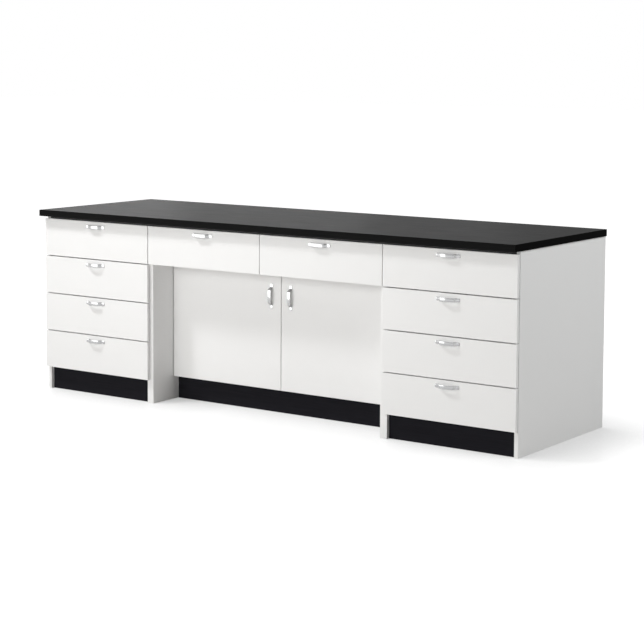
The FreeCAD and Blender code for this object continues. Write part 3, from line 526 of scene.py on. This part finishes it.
def screw_tree():
    """A low domed screw head with a cross recess at each point, facing as the point says."""
    tree, size = new_shape_tree("cross-head screws", dict.fromkeys(SCREW_SIZES, "Float"))
    m = partial(maths, tree)
    plate = add_node(tree, "GeometryNodeMeshGrid", {
        "Size X": 2.0, "Size Y": 2.0, "Vertices X": 6, "Vertices Y": 6}).outputs[0]
    where = split(tree, add_node(tree, "GeometryNodeInputPosition").outputs[0])

    # the square plate becomes a round one, domed towards its middle
    wide = m("MAXIMUM", m("ABSOLUTE", where["X"]), m("ABSOLUTE", where["Y"]))
    squares = m("ADD", m("MULTIPLY", where["X"], where["X"]), m("MULTIPLY", where["Y"], where["Y"]))
    far = m("SQRT", squares)
    scale = m("MULTIPLY", m("DIVIDE", wide, m("MAXIMUM", far, 1e-4)), size["Head Radius"])
    fall = m("MULTIPLY", m("MULTIPLY", wide, wide), 0.5)
    dome = m("MULTIPLY", size["Head Height"], m("SUBTRACT", 1.0, fall))
    round_place = add_node(tree, "ShaderNodeCombineXYZ", {
        0: m("MULTIPLY", where["X"], scale), 1: m("MULTIPLY", where["Y"], scale), 2: dome})
    arm = m("MULTIPLY", size["Head Radius"], RECESS_ARM)
    rib = m("MULTIPLY", size["Head Radius"], RECESS_HALF_WIDTH)
    round_plate = add_node(tree, "GeometryNodeSetPosition", {
        "Geometry": plate, "Position": round_place.outputs[0]}).outputs[0]
    spot = split(tree, add_node(tree, "GeometryNodeInputPosition").outputs[0])
    flat_x = m("ABSOLUTE", spot["X"])
    flat_y = m("ABSOLUTE", spot["Y"])
    bar_x = m("MULTIPLY", m("LESS_THAN", flat_x, rib), m("LESS_THAN", flat_y, arm))
    bar_y = m("MULTIPLY", m("LESS_THAN", flat_y, rib), m("LESS_THAN", flat_x, arm))
    cross = m("MAXIMUM", bar_x, bar_y)
    down = add_node(tree, "ShaderNodeCombineXYZ", {2: -1.0}).outputs[0]
    recessed = add_node(tree, "GeometryNodeExtrudeMesh", {
        "Mesh": round_plate, "Selection": cross, "Offset": down,
        "Offset Scale": size["Recess Depth"], "Individual": False}).outputs[0]
    rim = m("LESS_THAN", add_node(tree, "GeometryNodeInputMeshEdgeNeighbors").outputs[0], 1.5)
    skirt = add_node(tree, "GeometryNodeExtrudeMesh", {
        "Mesh": recessed, "Selection": rim, "Offset": down,
        "Offset Scale": m("MULTIPLY", size["Head Height"], 0.5)}, mode="EDGES").outputs[0]

    facing = add_node(tree, "GeometryNodeInputNamedAttribute", {
        "Name": "facing"}, data_type="FLOAT_VECTOR")
    spin = add_node(tree, "FunctionNodeRandomValue", {
        2: 0.0, 3: math.tau, "Seed": SCREW_SEED}, data_type="FLOAT")
    upright = add_node(tree, "FunctionNodeAxisAngleToRotation", {
        "Axis": (0, 0, 1), "Angle": spin.outputs[1]})
    aimed = add_node(tree, "FunctionNodeAlignRotationToVector", {
        "Rotation": upright.outputs[0], "Vector": facing.outputs[0]}, axis="Z")
    screws = add_node(tree, "GeometryNodeInstanceOnPoints", {
        "Points": size["Geometry"], "Instance": skirt, "Rotation": aimed.outputs[0]})
    close_shape_tree(tree, screws.outputs[0], plated)
    return tree


LEFTWARD, RIGHTWARD = (-1, 0, 0), (1, 0, 0)
BACKWARD, DOWNWARD = (0, 1, 0), (0, 0, -1)

# Screws of the drawers: inner front, then runner members
INNER_FRONT_THICK = 0.012
FRONT_SCREW_REACH = 0.19
FRONT_SCREW_HEIGHTS = (0.045, 0.09)
RUNNER_SCREW_RUNS = (0.06, 0.3, 0.54)
RUNNER_SCREW_INSET = 0.0155
# Screws of the doors' hinge cups
CUP_FROM_END = 0.027
CUP_SCREW_STEP = 0.0215
# Screws of the carcass: hinge plates, then top rails
PLATE_THICK = 0.002
PLATE_FROM_END = 0.018
PLATE_SCREW_STEP = 0.012
PLATE_SCREW_SETBACK = 0.014
UNIT_CENTRES = (-0.9, 0.0, 0.9)
RAIL_SCREW_STEPS = (-0.24, 0.0, 0.24)
RAIL_SCREW_SHIFT = 0.03
RAIL_HALF_WIDTH = 0.045


def screw_points(name, spots):
    """A mesh with one point for each screw, which carries the way that the screw faces."""
    mesh = bpy.data.meshes.new(name)
    mesh.from_pydata([place for place, facing in spots], [], [])
    facings = mesh.attributes.new("facing", "FLOAT_VECTOR", "POINT")
    for k, (place, facing) in enumerate(spots):
        facings.data[k].vector = facing
    return mesh


def drawer_screws(drawer):
    """Screws of one drawer: through its inner front, and up through its runner members."""
    low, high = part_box(f"{drawer}_box")
    middle = (low.x + high.x) / 2
    inner_front = low.y + INNER_FRONT_THICK
    spots = []
    for reach in (-FRONT_SCREW_REACH, FRONT_SCREW_REACH):
        for height in FRONT_SCREW_HEIGHTS:
            spots.append(((middle + reach, inner_front, low.z + height), BACKWARD))
    for run in RUNNER_SCREW_RUNS:
        for x in (low.x + RUNNER_SCREW_INSET, high.x - RUNNER_SCREW_INSET):
            spots.append(((x, low.y + run, low.z), DOWNWARD))
    return spots


def door_screws(door):
    """Screws of one door: behind its handle and on the flanges of its cups."""
    handle_low, handle_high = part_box(f"{door}_handle")
    panel_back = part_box(f"{door}_panel")[1].y
    hinge_low, hinge_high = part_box(f"{door}_hinges")
    handle_x = (handle_low.x + handle_high.x) / 2
    handle_z = (handle_low.z + handle_high.z) / 2
    spots = []
    for step in (-HOLE_PITCH / 2, HOLE_PITCH / 2):
        spots.append(((handle_x, panel_back, handle_z + step), BACKWARD))
    cup_x = (hinge_low.x + hinge_high.x) / 2
    for cup_z in (hinge_low.z + CUP_FROM_END, hinge_high.z - CUP_FROM_END):
        for step in (-CUP_SCREW_STEP, CUP_SCREW_STEP):
            spots.append(((cup_x, hinge_high.y, cup_z + step), BACKWARD))
    return spots


def carcass_screws():
    """Screws of the carcass: on the hinge plates, and up through the top rails."""
    arm_low, arm_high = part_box("hinge_arms")
    plate_y = arm_high.y - PLATE_SCREW_SETBACK
    spots = []
    for plate_x, facing in ((arm_low.x + PLATE_THICK, RIGHTWARD), (arm_high.x - PLATE_THICK, LEFTWARD)):
        for plate_z in (arm_low.z + PLATE_FROM_END, arm_high.z - PLATE_FROM_END):
            for step in (-PLATE_SCREW_STEP, PLATE_SCREW_STEP):
                spots.append(((plate_x, plate_y, plate_z + step), facing))
    rail_low, rail_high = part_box("top_rails")
    for centre in UNIT_CENTRES:
        for step in RAIL_SCREW_STEPS:
            for rail_y in (rail_low.y + RAIL_HALF_WIDTH, rail_high.y - RAIL_HALF_WIDTH):
                spots.append(((centre + step + RAIL_SCREW_SHIFT, rail_y, rail_low.z), DOWNWARD))
    return spots


def make_screws():
    """Every screw head, one mesh for each body that carries some."""
    tree = screw_tree()
    carried = {drawer: drawer_screws(drawer) for drawer in DRAWERS}
    carried.update({door: door_screws(door) for door in DOORS})
    carried["carcass"] = carcass_screws()
    for body, spots in carried.items():
        name = f"{body}_screws"
        heads = bake(name, tree, SCREW_SIZES, screw_points(f"{name}_points", spots))
        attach(heads, body)


# Studio: floor, lamps and the pale surroundings


def seen_directly(tree):
    """1 for what the camera, a mirror or a glass sees, 0 for light that falls on the bench."""
    path = add_node(tree, "ShaderNodeLightPath").outputs
    mirrored = maths(tree, "MAXIMUM", path["Is Camera Ray"], path["Is Glossy Ray"])
    return maths(tree, "MAXIMUM", mirrored, path["Is Transmission Ray"])


# The floor's own glow near the bench and far from it, and where it rises
FLOOR_GLOW = 0.80
FAR_FLOOR_GLOW = 1.06
GLOW_CENTRE = (0.0, -1.3, 0.0)
GLOW_RISES_FROM = 1.6
GLOW_RISES_TO = 3.4
# The painted shade in the floor's glow round the bench: its reach, how dark it gets and the side that
# the light comes from
SHADE_REACH = 0.32
SHADE_SHARE = 0.7
SHADE_SAMPLES = 4
LIGHT_SIDE = (-0.75, -0.35, 0.56)
# The floor's surface, as it is seen and as it lights the bench
FLOOR_DIFFUSE = 0.32
FLOOR_BOUNCE = 0.5
BOUNCE_WARMTH = 0.03
SHEEN_SHARE = 0.05
SHEEN_ROUGHNESS = 0.18
FLOOR_LEVEL = -0.0004
FLOOR_REACH = 40.0


def pale_floor():
    """A plain white floor that keeps the bench's shadow, with painted shade darkening its glow round
    the bench, and runs into the white background.
    """
    finish = bpy.data.materials.new("pale floor")
    finish.use_nodes = True
    tree = finish.node_tree
    tree.nodes.clear()
    direct = seen_directly(tree)
    place = add_node(tree, "ShaderNodeTexCoord").outputs["Object"]
    away = add_node(tree, "ShaderNodeVectorMath", {0: place, 1: GLOW_CENTRE}, operation="DISTANCE")
    side = add_node(tree, "ShaderNodeCombineXYZ", dict(enumerate(LIGHT_SIDE)))
    shade = add_node(tree, "ShaderNodeAmbientOcclusion", {
        "Distance": SHADE_REACH, "Normal": side.outputs[0]}, samples=SHADE_SAMPLES)
    rising = between(tree, away.outputs["Value"], FLOOR_GLOW, FAR_FLOOR_GLOW,
                     start=GLOW_RISES_FROM, end=GLOW_RISES_TO)
    evenly = maths(tree, "MULTIPLY", direct, rising)
    # painted shade: the glow is darkened where the bench blocks the side that the light comes from
    unshaded = between(tree, shade.outputs["AO"], 1 - SHADE_SHARE, 1.0, start=0.0, end=1.0)
    glow = maths(tree, "MULTIPLY", evenly, unshaded)
    colour = blend_colours(tree, direct, grey(FLOOR_BOUNCE, BOUNCE_WARMTH), grey(FLOOR_DIFFUSE))
    matt = add_node(tree, "ShaderNodeBsdfDiffuse", {"Color": colour})
    shine = add_node(tree, "ShaderNodeEmission", {"Color": grey(1.0), "Strength": glow})
    both = add_node(tree, "ShaderNodeAddShader", {0: matt.outputs[0], 1: shine.outputs[0]})
    sheen = add_node(tree, "ShaderNodeBsdfAnisotropic", {
        "Color": grey(1.0), "Roughness": SHEEN_ROUGHNESS})
    mixed = add_node(tree, "ShaderNodeMixShader", {
        0: SHEEN_SHARE, 1: both.outputs[0], 2: sheen.outputs[0]})
    output = add_node(tree, "ShaderNodeOutputMaterial")
    tree.links.new(mixed.outputs[0], output.inputs[0])
    mesh = bpy.data.meshes.new("floor")
    turns = ((-1, -1), (1, -1), (1, 1), (-1, 1))
    corners = [(x * FLOOR_REACH, y * FLOOR_REACH, FLOOR_LEVEL) for x, y in turns]
    mesh.from_pydata(corners, [], [(0, 1, 2, 3)])
    mesh.materials.append(finish)
    floor = bpy.data.objects.new("floor", mesh)
    bpy.context.scene.collection.objects.link(floor)


AMBIENT = 0.02
WARM_LIGHT = (1.0, 0.999, 0.984)
PLAIN_LIGHT = (1.0, 1.0, 1.0)
COOL_LIGHT = (0.985, 1.0, 1.0)

MIDDLE = (0.0, 0.0, 0.5)
UPPER_MIDDLE = (0.0, 0.0, 0.9)
# Each lamp: its place, where it points, its width and height, its watts and its colour
LAMPS = {
    "key lamp": ((-2.0, -1.95, 3.7), (0.0, -0.3, 0.5), 0.6, 0.6, 78, PLAIN_LIGHT),
    "front lamp": ((0.0, -5.9, 2.6), MIDDLE, 5.0, 2.2, 40, WARM_LIGHT),
    "low front lamp": ((0.0, -5.9, 1.6), MIDDLE, 5.0, 2.2, 153, WARM_LIGHT),
    "upper left lamp": ((-2.43, -3.48, 4.64), MIDDLE, 4.0, 3.0, 39, WARM_LIGHT),
    "right lamp": ((4.88, 0.6, 3.84), MIDDLE, 3.0, 3.0, 156, COOL_LIGHT),
    "rear strip lamp": ((-5.04, 4.86, 0.9), UPPER_MIDDLE, 3.6, 1.2, 36, PLAIN_LIGHT),
    "rear side lamp": ((-5.8, 4.3, 0.9), UPPER_MIDDLE, 2.4, 1.2, 31, PLAIN_LIGHT),
    "rear wide lamp": ((-3.77, 4.5, 1.65), MIDDLE, 4.0, 2.0, 14, PLAIN_LIGHT),
    "bright card": ((-2.0, -2.6, 0.55), (-2.0, 0.0, 0.55), 2.7, 1.1, 22, WARM_LIGHT),
}
UNMIRRORED_LAMPS = ("key lamp", "front lamp", "low front lamp")
MIRRORED_ONLY = ("bright card",)


def pale_surroundings():
    """A white background, and an even dim light from all round."""
    world = bpy.data.worlds.new("pale studio")
    bpy.context.scene.world = world
    world.use_nodes = True
    tree = world.node_tree
    tree.nodes.clear()
    strength = maths(tree, "MAXIMUM", seen_directly(tree), AMBIENT)
    sky = add_node(tree, "ShaderNodeBackground", {"Color": grey(1.0), "Strength": strength})
    output = add_node(tree, "ShaderNodeOutputWorld")
    tree.links.new(sky.outputs[0], output.inputs[0])


def softbox(name, place, aim, width, height, power, colour):
    """A rectangular soft lamp that points at a place on the bench."""
    lamp = bpy.data.lights.new(name, "AREA")
    lamp.shape = "RECTANGLE"
    lamp.size = width
    lamp.size_y = height
    lamp.energy = power
    lamp.color = colour
    holder = bpy.data.objects.new(name, lamp)
    holder.location = place
    holder.rotation_mode = "QUATERNION"
    holder.rotation_quaternion = (Vector(aim) - Vector(place)).to_track_quat("-Z", "Y")
    bpy.context.scene.collection.objects.link(holder)
    return holder


def light_bench():
    """Key lamp high on the left, fill lamps in front and beside, and strips behind for the worktop."""
    for name, setting in LAMPS.items():
        lamp = softbox(name, *setting)
        # some lamps stay out of the handles, and the card shows in them but adds no other light
        if name in UNMIRRORED_LAMPS:
            lamp.visible_glossy = False
        if name in MIRRORED_ONLY:
            lamp.visible_diffuse = False


def set_camera():
    """The photograph's own viewpoint."""
    yaw, pitch, roll = (math.radians(turn) for turn in (CAMERA_YAW, CAMERA_PITCH, CAMERA_ROLL))
    forward = Vector((
        math.sin(yaw) * math.cos(pitch), math.cos(yaw) * math.cos(pitch), math.sin(pitch)))
    level = Vector((math.cos(yaw), -math.sin(yaw), 0))
    upright = level.cross(forward)
    right = level * math.cos(roll) + upright * math.sin(roll)
    up = upright * math.cos(roll) - level * math.sin(roll)
    turn = Matrix((right, up, -forward)).transposed().to_4x4()
    lens = bpy.data.cameras.new("camera")
    lens.sensor_width = SENSOR
    lens.lens = LENS
    lens.shift_y = (OPTICAL_CENTRE_ROW - PHOTO_SIDE / 2) / PHOTO_SIDE
    lens.clip_end = CAMERA_SIGHT
    camera = bpy.data.objects.new("camera", lens)
    camera.matrix_world = Matrix.Translation(CAMERA_PLACE) @ turn
    bpy.context.scene.collection.objects.link(camera)
    bpy.context.scene.camera = camera


finish_cad_nodes()
make_fronts()
make_handles()
make_screws()
pale_floor()
pale_surroundings()
light_bench()
set_camera()
bpy.context.scene.view_settings.view_transform = "Standard"
